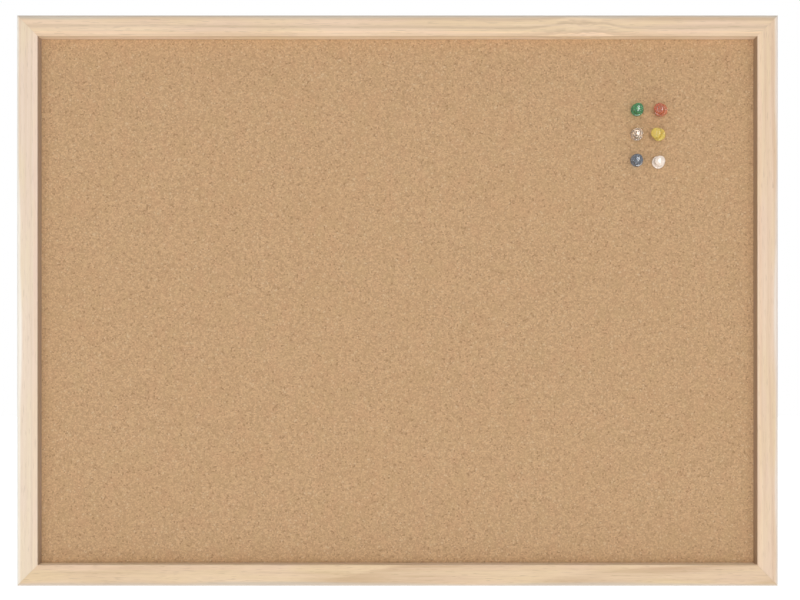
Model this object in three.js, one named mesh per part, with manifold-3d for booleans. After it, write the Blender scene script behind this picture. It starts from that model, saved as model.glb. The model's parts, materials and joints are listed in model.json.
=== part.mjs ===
// A framed cork pin board with push pins in it.
//
// Four mitred pine rails, nailed at the corners, hold a panel in a rebate: cork in front, softboard
// behind it for the needles to bite, and a hardboard back. Flat steel points keep the panel in, and
// two sawtooth hangers on the top rail carry the board on a wall.
//
// Millimetres, +Z up. The cork faces -Y and the wall is on the +Y side. The origin is on the back of
// the top rail, midway between the hangers, level with the notches that the board hangs by.

import * as THREE from "three";
import { mergeVertices } from "three/addons/utils/BufferGeometryUtils.js";
import loadManifold from "manifold-3d";

const wasm = await loadManifold();
wasm.setup();

// Frame
const BOARD_WIDTH = 600;
const BOARD_HEIGHT = 450;
const RAIL_WIDTH = 17; // as seen from the front
const LIP_WIDTH = 6; // how far the front lip laps over the panel
const LIP_THICKNESS = 9; // from the front of the frame to the panel
const BACK_WALL = 1.2; // wood behind the slots of the framing points
const OUTER_ROUND = 3; // radius of the front outer edge
const INNER_ROUND = 0.6; // radius of the front inner edge
const BACK_BEVEL = 0.8; // on the back outer edge
const MITRE_GAP = 0.1; // glue line in each corner

// Panel
const CORK_THICKNESS = 2;
const SOFTBOARD_THICKNESS = 9;
const HARDBOARD_THICKNESS = 2;
const GLUE_LINE = 0.1; // between the layers
const SEAT_GAP = 0.1; // where one flat piece lies on another
const PANEL_CLEARANCE = 0.5; // round the panel's edges
const SLOT_CLEARANCE = 0.3; // round each piece that is driven into another

// Framing points
const POINTS_PER_RAIL = 4;
const POINTS_PER_STILE = 3;
const POINT_LENGTH = 14;
const POINT_WIDTH = 6;
const POINT_THICKNESS = 0.5;
const POINT_BITE = 6; // length driven into the wood
const POINT_TIP = 3; // length of the sharpened end

// Corner nails
const CORNER_NAIL_LEG = 6;
const CORNER_NAIL_THICKNESS = 0.6;
const CORNER_NAIL_HEIGHT = 9;
const CORNER_NAIL_SINK = 0.3; // below the back of the frame

// Hangers
const HANGER_LENGTH = 38;
const HANGER_BRIDGE = 21; // length of the raised middle
const HANGER_SHOULDER = 2; // length of each slope up to it
const HANGER_RISE = 1.6; // room for a nail head under the bridge
const HANGER_THICKNESS = 0.8;
const HANGER_MARGIN = 1.3; // wood left on each side of a hanger
const NOTCH_COUNT = 7;
const NOTCH_DEPTH = 1.6;
const NOTCH_TIP = 0.6; // flat between two notches

// Hanger nails
const NAIL_DIAMETER = 1.2;
const NAIL_LENGTH = 10;
const NAIL_POINT = 2;
const NAIL_HEAD_DIAMETER = 3.6;
const NAIL_HEAD_THICKNESS = 0.8;

// Push pins
const FLANGE_DIAMETER = 10;
const FLANGE_RIM = 1.3;
const WAIST_DIAMETER = 5.2;
const WAIST_START = 4; // heights above the underside of the flange
const WAIST_END = 8;
const GRIP_DIAMETER = 8;
const GRIP_START = 10;
const GRIP_RIM = 1.6;
const DOME_HEIGHT = 0.9;
const NEEDLE_DIAMETER = 1.1;
const NEEDLE_LENGTH = 10; // below the flange
const NEEDLE_SEAT = 7; // moulded into the head
const NEEDLE_POINT = 3;

// Where the pins stand: a grid in the top right corner, each pin a little off it and leaning, in
// degrees, as pushed in by hand
const PIN_RIGHT_INSET = 92.5; // from the right edge of the board to the right column
const PIN_TOP_INSET = 73.5; // from the top edge of the board to the top row
const PIN_COLUMN_PITCH = 17.7;
const PIN_ROW_PITCH = 20.4;
const PINS = [
  { name: "green", colour: 0x3f8f5a, column: 1, row: 0, right: 0.6, up: 0.3, leanLeft: 8, leanDown: 5 },
  { name: "red", colour: 0xc03a2c, column: 0, row: 0, right: 2.2, up: -0.2, leanLeft: 20, leanDown: 3 },
  { name: "clear", colour: 0xe9e4dc, column: 1, row: 1, right: 0.4, up: 1.2, leanLeft: 8, leanDown: 5 },
  { name: "yellow", colour: 0xe6b92e, column: 0, row: 1, right: 1.2, up: 0.8, leanLeft: 26, leanDown: 3 },
  { name: "blue", colour: 0x3b5f8f, column: 1, row: 2, right: 0.3, up: 1, leanLeft: 9, leanDown: 4 },
  { name: "white", colour: 0xf6f1ea, column: 0, row: 2, right: -0.4, up: -0.6, leanLeft: 6, leanDown: 3 },
];

// Fineness of the round shapes
const ARC_STEPS = 5;
const HEAD_SIDES = 24;
const NEEDLE_SIDES = 10;

// Depths, from the front of the frame towards the wall
const CORK_FRONT = LIP_THICKNESS + SEAT_GAP;
const SOFTBOARD_FRONT = CORK_FRONT + CORK_THICKNESS + GLUE_LINE;
const HARDBOARD_FRONT = SOFTBOARD_FRONT + SOFTBOARD_THICKNESS + GLUE_LINE;
const POINT_FRONT = HARDBOARD_FRONT + HARDBOARD_THICKNESS + SEAT_GAP;
const POINT_BACK = POINT_FRONT + POINT_THICKNESS;
const FRAME_DEPTH = POINT_BACK + SLOT_CLEARANCE + BACK_WALL;

// Widths, from the outer edge of a rail towards the middle of the board
const LAND_WIDTH = RAIL_WIDTH - LIP_WIDTH; // solid wood outside the rebate
const HANGER_WIDTH = LAND_WIDTH - 2 * HANGER_MARGIN;
const HANG_LEVEL = LAND_WIDTH - HANGER_MARGIN - NOTCH_DEPTH; // down to the notches

const PANEL_WIDTH = BOARD_WIDTH - 2 * (LAND_WIDTH + PANEL_CLEARANCE);
const PANEL_HEIGHT = BOARD_HEIGHT - 2 * (LAND_WIDTH + PANEL_CLEARANCE);

const pine = { color: 0xe8cead, roughness: 0.55, metalness: 0 };
const cork = { color: 0xc4a07a, roughness: 0.95, metalness: 0 };
const softboard = { color: 0xb89a72, roughness: 1, metalness: 0 };
const hardboard = { color: 0x7a5638, roughness: 0.6, metalness: 0 };
const steel = { color: 0xb9bcbf, roughness: 0.35, metalness: 1 };

function piece(name, geometry, finish) {
  const mesh = new THREE.Mesh(geometry, new THREE.MeshStandardMaterial(finish));
  mesh.name = name;
  return mesh;
}

function toSolid(geometry) {
  const bare = geometry.clone();
  bare.deleteAttribute("normal");
  bare.deleteAttribute("uv");
  const merged = mergeVertices(bare);
  return new wasm.Manifold(
    new wasm.Mesh({
      numProp: 3,
      vertProperties: new Float32Array(merged.attributes.position.array),
      triVerts: new Uint32Array(merged.index.array),
    }),
  );
}

function cut(geometry, tools) {
  let solid = toSolid(geometry);
  for (const tool of tools) {
    solid = solid.subtract(toSolid(tool));
  }
  const mesh = solid.getMesh();
  const result = new THREE.BufferGeometry();
  result.setAttribute("position", new THREE.BufferAttribute(mesh.vertProperties, 3));
  result.setIndex(new THREE.BufferAttribute(mesh.triVerts, 1));
  result.computeVertexNormals();
  return result;
}

// A flat plate drawn along (x, z), with its back at the given depth.
function plate(outline, thickness, back) {
  const geometry = new THREE.ExtrudeGeometry(outline, { depth: thickness, bevelEnabled: false });
  geometry.rotateX(Math.PI / 2);
  geometry.translate(0, back, 0);
  return geometry;
}

function outlineOf(corners) {
  return new THREE.Shape(corners.map(([x, z]) => new THREE.Vector2(x, z)));
}

// The frame is four sides, each drawn in its own frame: x along the rail, y back towards the wall and
// z from the outer edge inwards. Seen from the front they follow each other anticlockwise, so that a
// side starts at the corner where the one before it ends.
const quarterTurn = -Math.PI / 2;
const sides = [
  { rail: "bottom_rail", corner: "bottom_left", length: BOARD_WIDTH, points: POINTS_PER_RAIL },
  { rail: "right_stile", corner: "bottom_right", length: BOARD_HEIGHT, points: POINTS_PER_STILE },
  { rail: "top_rail", corner: "top_right", length: BOARD_WIDTH, points: POINTS_PER_RAIL },
  { rail: "left_stile", corner: "top_left", length: BOARD_HEIGHT, points: POINTS_PER_STILE },
];
const centres = [
  [0, -BOARD_HEIGHT / 2],
  [BOARD_WIDTH / 2, 0],
  [0, BOARD_HEIGHT / 2],
  [-BOARD_WIDTH / 2, 0],
];

// Section of the moulding: across is measured from the outer edge, deep from the front.
function railSection() {
  const section = new THREE.Shape();
  section.moveTo(OUTER_ROUND, 0);
  section.lineTo(RAIL_WIDTH - INNER_ROUND, 0);
  section.absarc(RAIL_WIDTH - INNER_ROUND, INNER_ROUND, INNER_ROUND, -Math.PI / 2, 0);
  section.lineTo(RAIL_WIDTH, LIP_THICKNESS);
  section.lineTo(LAND_WIDTH, LIP_THICKNESS);
  section.lineTo(LAND_WIDTH, FRAME_DEPTH);
  section.lineTo(BACK_BEVEL, FRAME_DEPTH);
  section.lineTo(0, FRAME_DEPTH - BACK_BEVEL);
  section.lineTo(0, OUTER_ROUND);
  section.absarc(OUTER_ROUND, OUTER_ROUND, OUTER_ROUND, Math.PI, 1.5 * Math.PI);
  return section;
}

// A length of moulding with both ends mitred: each end is drawn in by as much as it lies inwards.
function mitredRail(length) {
  const extrusion = { depth: length, bevelEnabled: false, curveSegments: ARC_STEPS };
  const rail = new THREE.ExtrudeGeometry(railSection(), extrusion);
  rail.rotateY(quarterTurn);
  rail.translate(length / 2, 0, 0);
  const glueAlong = MITRE_GAP / Math.SQRT2;
  const corners = rail.attributes.position;
  for (let i = 0; i < corners.count; i++) {
    const halfLength = length / 2 - corners.getZ(i) - glueAlong;
    corners.setX(i, Math.sign(corners.getX(i)) * halfLength);
  }
  return rail;
}

// Framing points lie on the back of the panel and bite into the wall of the rebate.
function pointPlaces(side) {
  const pitch = (side.length - 2 * LAND_WIDTH) / side.points;
  return Array.from({ length: side.points }, (_, i) => (i + 0.5 - side.points / 2) * pitch);
}

function framingPoint() {
  const half = POINT_WIDTH / 2;
  const tip = LAND_WIDTH - POINT_BITE;
  const tail = tip + POINT_LENGTH;
  const outline = outlineOf([
    [0, tip],
    [half, tip + POINT_TIP],
    [half, tail],
    [-half, tail],
    [-half, tip + POINT_TIP],
  ]);
  return plate(outline, POINT_THICKNESS, POINT_BACK);
}

function framingPointSlot() {
  const half = POINT_WIDTH / 2 + SLOT_CLEARANCE;
  const end = LAND_WIDTH - POINT_BITE - SLOT_CLEARANCE;
  const outline = outlineOf([
    [-half, end],
    [half, end],
    [half, RAIL_WIDTH],
    [-half, RAIL_WIDTH],
  ]);
  return plate(outline, POINT_THICKNESS + 2 * SLOT_CLEARANCE, POINT_BACK + SLOT_CLEARANCE);
}

// Corner nail: a strip bent square, one leg in each rail. It is drawn from the outer corner, along
// the two rails, so that it is the same seen from either of them.
function cornerNailOutline(clearance) {
  const inner = (LAND_WIDTH + CORNER_NAIL_THICKNESS) / 2 + clearance;
  const outer = (LAND_WIDTH - CORNER_NAIL_THICKNESS) / 2 - clearance;
  const end = outer + CORNER_NAIL_LEG + 2 * clearance;
  return outlineOf([
    [outer, outer],
    [end, outer],
    [end, inner],
    [inner, inner],
    [inner, end],
    [outer, end],
  ]);
}

function cornerNail() {
  return plate(cornerNailOutline(0), CORNER_NAIL_HEIGHT, FRAME_DEPTH - CORNER_NAIL_SINK);
}

function cornerNailSlots(length) {
  const depth = CORNER_NAIL_SINK + CORNER_NAIL_HEIGHT + SLOT_CLEARANCE;
  const slot = plate(cornerNailOutline(SLOT_CLEARANCE), depth, FRAME_DEPTH);
  const start = slot.clone().translate(-length / 2, 0, 0);
  const end = slot.clone().rotateY(quarterTurn).translate(length / 2, 0, 0);
  return [start, end];
}

// Hangers stand on the top rail, each in the outermost space between two framing points.
function hangerPlaces(side) {
  const places = pointPlaces(side);
  return [
    { name: "right", x: (places[0] + places[1]) / 2 },
    { name: "left", x: (places.at(-1) + places.at(-2)) / 2 },
  ];
}

const nailReach = (HANGER_LENGTH + HANGER_BRIDGE) / 4 + HANGER_SHOULDER / 2;
const nailOffsets = [-nailReach, nailReach];

function nailBore(length, back) {
  const radius = NAIL_DIAMETER / 2 + SLOT_CLEARANCE;
  return new THREE.CylinderGeometry(radius, radius, length, NEEDLE_SIDES).translate(
    0,
    back - length / 2,
    LAND_WIDTH / 2,
  );
}

// A strip with its middle raised clear of the wood and notched along its lower edge.
function sawtoothHanger() {
  const bridge = HANGER_BRIDGE / 2;
  const shoulder = bridge + HANGER_SHOULDER;
  const end = HANGER_LENGTH / 2;
  const top = HANGER_RISE + HANGER_THICKNESS;
  const strip = outlineOf([
    [-end, 0],
    [-shoulder, 0],
    [-bridge, HANGER_RISE],
    [bridge, HANGER_RISE],
    [shoulder, 0],
    [end, 0],
    [end, HANGER_THICKNESS],
    [shoulder, HANGER_THICKNESS],
    [bridge, top],
    [-bridge, top],
    [-shoulder, HANGER_THICKNESS],
    [-end, HANGER_THICKNESS],
  ]);
  const hanger = new THREE.ExtrudeGeometry(strip, { depth: HANGER_WIDTH, bevelEnabled: false });
  hanger.translate(0, FRAME_DEPTH + SEAT_GAP, HANGER_MARGIN);

  const lowerEdge = HANGER_MARGIN + HANGER_WIDTH;
  const pitch = HANGER_BRIDGE / NOTCH_COUNT;
  const mouth = (pitch - NOTCH_TIP) / 2;
  const notch = outlineOf([
    [-mouth, lowerEdge],
    [0, lowerEdge - NOTCH_DEPTH],
    [mouth, lowerEdge],
    [mouth, lowerEdge + NOTCH_DEPTH],
    [-mouth, lowerEdge + NOTCH_DEPTH],
  ]);
  const overall = FRAME_DEPTH + SEAT_GAP + top;
  const tools = [];
  for (let i = 0; i < NOTCH_COUNT; i++) {
    const x = (i + 0.5 - NOTCH_COUNT / 2) * pitch;
    tools.push(plate(notch, 2 * top, overall + top / 2).translate(x, 0, 0));
  }
  for (const x of nailOffsets) {
    tools.push(nailBore(2 * top, overall + top / 2).translate(x, 0, 0));
  }
  return cut(hanger, tools);
}

function hangerNail() {
  const shank = NAIL_DIAMETER / 2;
  const head = NAIL_HEAD_DIAMETER / 2;
  const profile = [
    [0, -NAIL_LENGTH],
    [shank, NAIL_POINT - NAIL_LENGTH],
    [shank, 0],
    [head, 0],
    [head, NAIL_HEAD_THICKNESS / 2],
    [shank, NAIL_HEAD_THICKNESS],
    [0, NAIL_HEAD_THICKNESS],
  ];
  const nail = new THREE.LatheGeometry(
    profile.map(([radius, height]) => new THREE.Vector2(radius, height)),
    NEEDLE_SIDES,
  );
  const underHead = FRAME_DEPTH + SEAT_GAP + HANGER_THICKNESS + SEAT_GAP;
  return nail.translate(0, underHead, LAND_WIDTH / 2);
}

function sideOfFrame(side, index) {
  const group = new THREE.Group();
  const tools = cornerNailSlots(side.length);
  pointPlaces(side).forEach((x, i) => {
    const point = piece(`${side.rail}_point_${i + 1}`, framingPoint(), steel);
    point.position.x = x;
    group.add(point);
    tools.push(framingPointSlot().translate(x, 0, 0));
  });

  const nail = piece(`${side.corner}_corner_nail`, cornerNail(), steel);
  nail.position.x = -side.length / 2;
  group.add(nail);

  if (side.rail === "top_rail") {
    for (const place of hangerPlaces(side)) {
      const hanger = piece(`${place.name}_hanger`, sawtoothHanger(), steel);
      hanger.position.x = place.x;
      group.add(hanger);
      nailOffsets.forEach((offset, i) => {
        const hangerNailPiece = piece(`${place.name}_hanger_nail_${i + 1}`, hangerNail(), steel);
        hangerNailPiece.position.x = place.x + offset;
        group.add(hangerNailPiece);
        const bore = nailBore(NAIL_LENGTH + SLOT_CLEARANCE, FRAME_DEPTH);
        tools.push(bore.translate(place.x + offset, 0, 0));
      });
    }
  }

  group.add(piece(side.rail, cut(mitredRail(side.length), tools), pine));
  const [x, z] = centres[index];
  group.position.set(x, 0, z);
  group.rotation.y = index * quarterTurn;
  return group;
}

// Push pins: y = 0 in a pin's own frame is the cork, and its needle points along +y.
function pinHead() {
  const bore = NEEDLE_DIAMETER / 2 + SLOT_CLEARANCE;
  const flange = FLANGE_DIAMETER / 2;
  const waist = WAIST_DIAMETER / 2;
  const grip = GRIP_DIAMETER / 2;
  const gripEnd = GRIP_START + GRIP_RIM;
  const profile = new THREE.Path();
  profile.moveTo(0, NEEDLE_SEAT + SLOT_CLEARANCE);
  profile.lineTo(bore, NEEDLE_SEAT + SLOT_CLEARANCE);
  profile.lineTo(bore, 0);
  profile.lineTo(flange, 0);
  profile.lineTo(flange, FLANGE_RIM);
  profile.quadraticCurveTo(waist, FLANGE_RIM, waist, WAIST_START);
  profile.lineTo(waist, WAIST_END);
  profile.quadraticCurveTo(waist, GRIP_START, grip, GRIP_START);
  profile.lineTo(grip, gripEnd);
  profile.quadraticCurveTo(grip, gripEnd + DOME_HEIGHT, 0, gripEnd + DOME_HEIGHT);
  return new THREE.LatheGeometry(profile.getPoints(ARC_STEPS), HEAD_SIDES).rotateX(Math.PI);
}

function pinNeedle() {
  const radius = NEEDLE_DIAMETER / 2;
  const profile = [
    [0, -NEEDLE_LENGTH],
    [radius, NEEDLE_POINT - NEEDLE_LENGTH],
    [radius, NEEDLE_SEAT],
    [0, NEEDLE_SEAT],
  ];
  return new THREE.LatheGeometry(
    profile.map(([r, height]) => new THREE.Vector2(r, height)),
    NEEDLE_SIDES,
  ).rotateX(Math.PI);
}

function pinGroup(pin) {
  const group = new THREE.Group();
  group.position.set(
    BOARD_WIDTH / 2 - PIN_RIGHT_INSET - pin.column * PIN_COLUMN_PITCH + pin.right,
    CORK_FRONT,
    BOARD_HEIGHT / 2 - PIN_TOP_INSET - pin.row * PIN_ROW_PITCH + pin.up,
  );
  const leanDown = THREE.MathUtils.degToRad(pin.leanDown);
  const leanLeft = THREE.MathUtils.degToRad(pin.leanLeft);
  group.rotation.set(leanDown, 0, -leanLeft);
  group.updateMatrix();
  return group;
}

// A leaning pin is pushed in until the low edge of its flange meets the cork.
function pinStandOff(group) {
  const outwards = new THREE.Vector3(0, -1, 0);
  const lean = outwards.angleTo(outwards.clone().applyQuaternion(group.quaternion));
  return (FLANGE_DIAMETER / 2) * Math.tan(lean) + SLOT_CLEARANCE / Math.cos(lean);
}

function pushPin(pin) {
  const group = pinGroup(pin);
  const plastic = { color: pin.colour, roughness: 0.2, metalness: 0 };
  const head = piece(`${pin.name}_pin_head`, pinHead(), plastic);
  const needle = piece(`${pin.name}_pin_needle`, pinNeedle(), steel);
  for (const part of [head, needle]) {
    part.position.y = -pinStandOff(group);
    group.add(part);
  }
  return group;
}

// The hole that a needle makes, in the frame of the board, open at the face of the cork.
function needleHole(pin) {
  const group = pinGroup(pin);
  const radius = NEEDLE_DIAMETER / 2 + SLOT_CLEARANCE;
  const depth = NEEDLE_LENGTH - pinStandOff(group) + SLOT_CLEARANCE;
  const mouth = CORK_THICKNESS;
  const hole = new THREE.CylinderGeometry(radius, radius, depth + mouth, NEEDLE_SIDES);
  return hole.translate(0, (depth - mouth) / 2, 0).applyMatrix4(group.matrix);
}

function panelLayer(name, front, thickness, finish) {
  const layer = new THREE.BoxGeometry(PANEL_WIDTH, thickness, PANEL_HEIGHT);
  layer.translate(0, front + thickness / 2, 0);
  return piece(name, cut(layer, PINS.map(needleHole)), finish);
}

const board = new THREE.Group();
sides.forEach((side, index) => board.add(sideOfFrame(side, index)));
board.add(
  panelLayer("cork_sheet", CORK_FRONT, CORK_THICKNESS, cork),
  panelLayer("softboard_core", SOFTBOARD_FRONT, SOFTBOARD_THICKNESS, softboard),
  panelLayer("hardboard_back", HARDBOARD_FRONT, HARDBOARD_THICKNESS, hardboard),
);
PINS.forEach((pin) => board.add(pushPin(pin)));

// From the middle of the front to the hang line on the back
board.position.set(0, -FRAME_DEPTH, HANG_LEVEL - BOARD_HEIGHT / 2);

const pinBoard = new THREE.Group();
pinBoard.name = "pin_board";
pinBoard.add(board);

export default pinBoard;
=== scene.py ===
# The looks of a framed cork pin board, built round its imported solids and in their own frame, in metres:
# +X is right and +Z up as seen from the front, the cork faces -Y, and the back of the frame is at y = 0.

import json
import math

import bpy
import bmesh
from mathutils import Matrix, Vector, noise


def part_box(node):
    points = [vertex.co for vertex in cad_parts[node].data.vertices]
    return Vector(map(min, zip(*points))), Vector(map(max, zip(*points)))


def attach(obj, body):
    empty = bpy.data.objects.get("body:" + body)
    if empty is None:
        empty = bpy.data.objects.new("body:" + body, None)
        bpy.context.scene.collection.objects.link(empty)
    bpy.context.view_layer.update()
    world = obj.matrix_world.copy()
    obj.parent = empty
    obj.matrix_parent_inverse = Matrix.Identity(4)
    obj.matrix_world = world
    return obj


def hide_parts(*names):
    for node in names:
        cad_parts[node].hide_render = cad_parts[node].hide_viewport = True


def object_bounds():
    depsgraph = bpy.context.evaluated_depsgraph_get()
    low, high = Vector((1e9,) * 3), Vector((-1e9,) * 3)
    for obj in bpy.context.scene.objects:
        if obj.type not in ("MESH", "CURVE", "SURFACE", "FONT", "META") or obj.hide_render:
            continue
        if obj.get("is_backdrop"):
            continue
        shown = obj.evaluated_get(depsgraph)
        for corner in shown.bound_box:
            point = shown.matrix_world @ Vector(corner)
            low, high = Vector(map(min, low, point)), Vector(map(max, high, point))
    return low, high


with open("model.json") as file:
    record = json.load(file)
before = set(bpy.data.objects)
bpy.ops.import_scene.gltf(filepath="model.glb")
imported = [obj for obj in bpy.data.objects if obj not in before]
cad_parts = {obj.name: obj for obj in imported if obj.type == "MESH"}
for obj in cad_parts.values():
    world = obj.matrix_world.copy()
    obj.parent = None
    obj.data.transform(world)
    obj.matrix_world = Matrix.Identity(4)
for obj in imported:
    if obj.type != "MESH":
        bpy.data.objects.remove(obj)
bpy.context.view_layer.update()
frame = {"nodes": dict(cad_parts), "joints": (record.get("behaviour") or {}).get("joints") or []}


# Frame rails. Four lengths of planed pine moulding with a rounded outer edge, an eased inner edge and a
# rebate along the back that takes the panel. The ends are mitred and glued, and each length of wood has
# its own grain, because it was sawn from another part of the tree.
OUTER_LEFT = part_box("left_stile")[0].x
OUTER_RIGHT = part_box("right_stile")[1].x
OUTER_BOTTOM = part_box("bottom_rail")[0].z
OUTER_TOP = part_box("top_rail")[1].z
FRAME_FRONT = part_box("top_rail")[0].y
FRAME_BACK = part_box("top_rail")[1].y
CORK_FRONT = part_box("cork_sheet")[0].y
BOARD_WIDTH = OUTER_RIGHT - OUTER_LEFT
BOARD_HEIGHT = OUTER_TOP - OUTER_BOTTOM
BOARD_CENTRE = Vector(((OUTER_LEFT + OUTER_RIGHT) / 2, 0, (OUTER_BOTTOM + OUTER_TOP) / 2))
RAIL_WIDTH = OUTER_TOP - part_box("top_rail")[0].z
LIP_WIDTH = 0.006
LIP_SEAT = 0.00002
OUTER_ROUND = 0.003
INNER_ROUND = 0.0006
BACK_ARRIS = 0.0006
MITRE_GLUE = 0.00004
STATION_PITCH = 0.006
PLANING_DEPTH = 0.00003
PLANING_MARKS_ALONG = 60
PLANING_MARKS_ACROSS = 200
NEXT_RAIL_MARKS = 9
CORNER_NAIL_THICKNESS = 0.0006
SLOT_EASE = 0.00006
CUT_PAST = 0.001


def arc(across, deep, radius, start, end, steps=8):
    """Points on a round edge that turns from one angle to another, in degrees."""
    turns = [math.radians(start + (end - start) * i / steps) for i in range(steps + 1)]
    return [(across + radius * math.cos(a), deep + radius * math.sin(a)) for a in turns]


def rail_outline():
    """The moulding's section: across from the outer edge, deep from the front."""
    depth = FRAME_BACK - FRAME_FRONT
    lip = CORK_FRONT - FRAME_FRONT - LIP_SEAT
    land = RAIL_WIDTH - LIP_WIDTH
    outer_edge = arc(OUTER_ROUND, OUTER_ROUND, OUTER_ROUND, 180, 270)
    inner_edge = arc(RAIL_WIDTH - INNER_ROUND, INNER_ROUND, INNER_ROUND, 270, 360)
    rebate = [(RAIL_WIDTH, lip), (land, lip)]
    back_inner = arc(land - BACK_ARRIS, depth - BACK_ARRIS, BACK_ARRIS, 0, 90, 3)
    back_outer = arc(BACK_ARRIS, depth - BACK_ARRIS, BACK_ARRIS, 90, 180, 3)
    return outer_edge + inner_edge + rebate + back_inner + back_outer


def place_piece(name, mesh):
    """Puts a mesh into the scene as a piece of its own."""
    piece = bpy.data.objects.new(name, mesh)
    bpy.context.scene.collection.objects.link(piece)
    return piece


def smooth(mesh, crease=35):
    """Soft shading, with edges sharper than the crease kept crisp."""
    mesh.shade_smooth()
    mesh.set_sharp_from_angle(angle=math.radians(crease))


def loft(name, rings):
    """A closed skin over rings of points, flat at both ends."""
    shell = bmesh.new()
    loops = [[shell.verts.new(point) for point in ring] for ring in rings]
    for near, far in zip(loops, loops[1:]):
        for i in range(len(near)):
            shell.faces.new((near[i - 1], near[i], far[i], far[i - 1]))
    shell.faces.new(loops[0])
    shell.faces.new(loops[-1])
    bmesh.ops.recalc_face_normals(shell, faces=shell.faces)
    mesh = bpy.data.meshes.new(name)
    shell.to_mesh(mesh)
    shell.free()
    return place_piece(name, mesh)


def carve(piece, cutter):
    """Cuts the cutter's shape out of a piece."""
    cut = piece.modifiers.new("cut", "BOOLEAN")
    cut.object = cutter
    cut.operation = "DIFFERENCE"
    cut.solver = "MANIFOLD"
    graph = bpy.context.evaluated_depsgraph_get()
    carved = bpy.data.meshes.new_from_object(piece.evaluated_get(graph))
    piece.modifiers.clear()
    piece.data = carved
    bpy.data.objects.remove(cutter)


def side_frame(quarter_turns, reach):
    """Into the board's frame from a side's own: x along it, y deep, z inwards from its outer edge."""
    turn = Matrix.Rotation(-quarter_turns * math.pi / 2, 4, "Y")
    return Matrix.Translation(BOARD_CENTRE) @ turn @ Matrix.Translation((0, 0, -reach))


def mitred_rail(name, quarter_turns, length, reach):
    """One length of moulding, shorter along its inner edge, with faint planing marks on its faces."""
    outline = rail_outline()
    into_board = side_frame(quarter_turns, reach)
    stations = round(length / STATION_PITCH)
    rings = []
    for k in range(stations + 1):
        ring = []
        for across, deep in outline:
            along = (2 * k / stations - 1) * (length / 2 - across - MITRE_GLUE)
            spot = (
                along * PLANING_MARKS_ALONG,
                across * PLANING_MARKS_ACROSS,
                quarter_turns * NEXT_RAIL_MARKS,
            )
            uneven = PLANING_DEPTH * noise.noise(spot)
            ring.append(into_board @ Vector((along, FRAME_FRONT + deep + abs(uneven), across)))
        rings.append(ring)
    return loft(name, rings)


def corner_slot(node):
    """The slit that a corner nail is driven into: a square bend, open to the back."""
    strip = CORNER_NAIL_THICKNESS + 2 * SLOT_EASE
    low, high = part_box(node)
    towards_x = 1 if low.x < 0 else -1
    towards_z = 1 if low.z < BOARD_CENTRE.z else -1
    corner = Vector((low.x if towards_x > 0 else high.x, 0, low.z if towards_z > 0 else high.z))
    leg = high.x - low.x + 2 * SLOT_EASE
    bend = [(0, 0), (leg, 0), (leg, strip), (strip, strip), (strip, leg), (0, leg)]
    rings = []
    for deep in (low.y - SLOT_EASE, FRAME_BACK + CUT_PAST):
        ring = []
        for a, b in bend:
            x = corner.x + towards_x * (a - SLOT_EASE)
            z = corner.z + towards_z * (b - SLOT_EASE)
            ring.append((x, deep, z))
        rings.append(ring)
    return loft("corner_slot", rings)


def add_node(tree, kind, inputs=None, **settings):
    """A shader node, with each input set to a value or joined to another node's output."""
    node = tree.nodes.new(kind)
    for name, value in settings.items():
        setattr(node, name, value)
    for key, value in (inputs or {}).items():
        if isinstance(value, bpy.types.NodeSocket):
            tree.links.new(value, node.inputs[key])
        else:
            node.inputs[key].default_value = value
    return node


def calc(tree, operation, *values):
    """One sum on numbers or outputs."""
    return add_node(tree, "ShaderNodeMath", dict(enumerate(values)), operation=operation).outputs[0]


def stretch(tree, vector, scale, shift=(0, 0, 0)):
    """A place scaled along each axis, and moved."""
    wiring = {0: vector, 1: scale, 2: shift}
    return add_node(tree, "ShaderNodeVectorMath", wiring, operation="MULTIPLY_ADD").outputs[0]


def distance(tree, vector):
    """How far a place is from its origin."""
    return add_node(tree, "ShaderNodeVectorMath", {0: vector}, operation="LENGTH").outputs["Value"]


def shade(tree, colour, factor):
    """A colour made paler or darker, channel by channel."""
    wiring = {0: colour, 1: factor}
    return add_node(tree, "ShaderNodeVectorMath", wiring, operation="MULTIPLY").outputs[0]


def grainy(tree, vector, detail=2.0, roughness=0.5):
    """Soft blotches, about one to each unit of the place given."""
    wiring = {"Vector": vector, "Scale": 1.0, "Detail": detail, "Roughness": roughness}
    return add_node(tree, "ShaderNodeTexNoise", wiring).outputs["Fac"]


def between(tree, value, low, high, to_low=0.0, to_high=1.0):
    """Spreads the stretch from low to high over another, smoothly, and holds its ends."""
    wiring = {"Value": value, "From Min": low, "From Max": high, "To Min": to_low, "To Max": to_high}
    node = add_node(tree, "ShaderNodeMapRange", wiring, interpolation_type="SMOOTHSTEP")
    return node.outputs["Result"]


def tint(tree, amount, colour_a, colour_b):
    """From one colour to the other by an amount from 0 to 1."""
    node = tree.nodes.new("ShaderNodeMix")
    node.data_type = "RGBA"
    sockets = (node.inputs[0], node.inputs[6], node.inputs[7])
    for socket, value in zip(sockets, (amount, colour_a, colour_b)):
        if isinstance(value, bpy.types.NodeSocket):
            tree.links.new(value, socket)
        else:
            socket.default_value = (*value, 1.0) if isinstance(value, tuple) else value
    return node.outputs[2]


def blank_finish(name, **sockets):
    """A new material, its node tree and its surface, with the sockets that are even all over."""
    material = bpy.data.materials.new(name)
    material.use_nodes = True
    surface = material.node_tree.nodes["Principled BSDF"]
    for key, value in sockets.items():
        surface.inputs[key.replace("_", " ").title().replace("Ior", "IOR")].default_value = value
    return material, material.node_tree, surface


def raise_surface(tree, surface, height, strength, depth):
    """Fine relief in a finish, on top of the relief in the mesh."""
    wiring = {"Height": height, "Strength": strength, "Distance": depth}
    bump = add_node(tree, "ShaderNodeBump", wiring)
    tree.links.new(bump.outputs["Normal"], surface.inputs["Normal"])


def coat(piece, finish):
    """Gives a piece one finish all over."""
    piece.data.materials.clear()
    piece.data.materials.append(finish)


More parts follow.
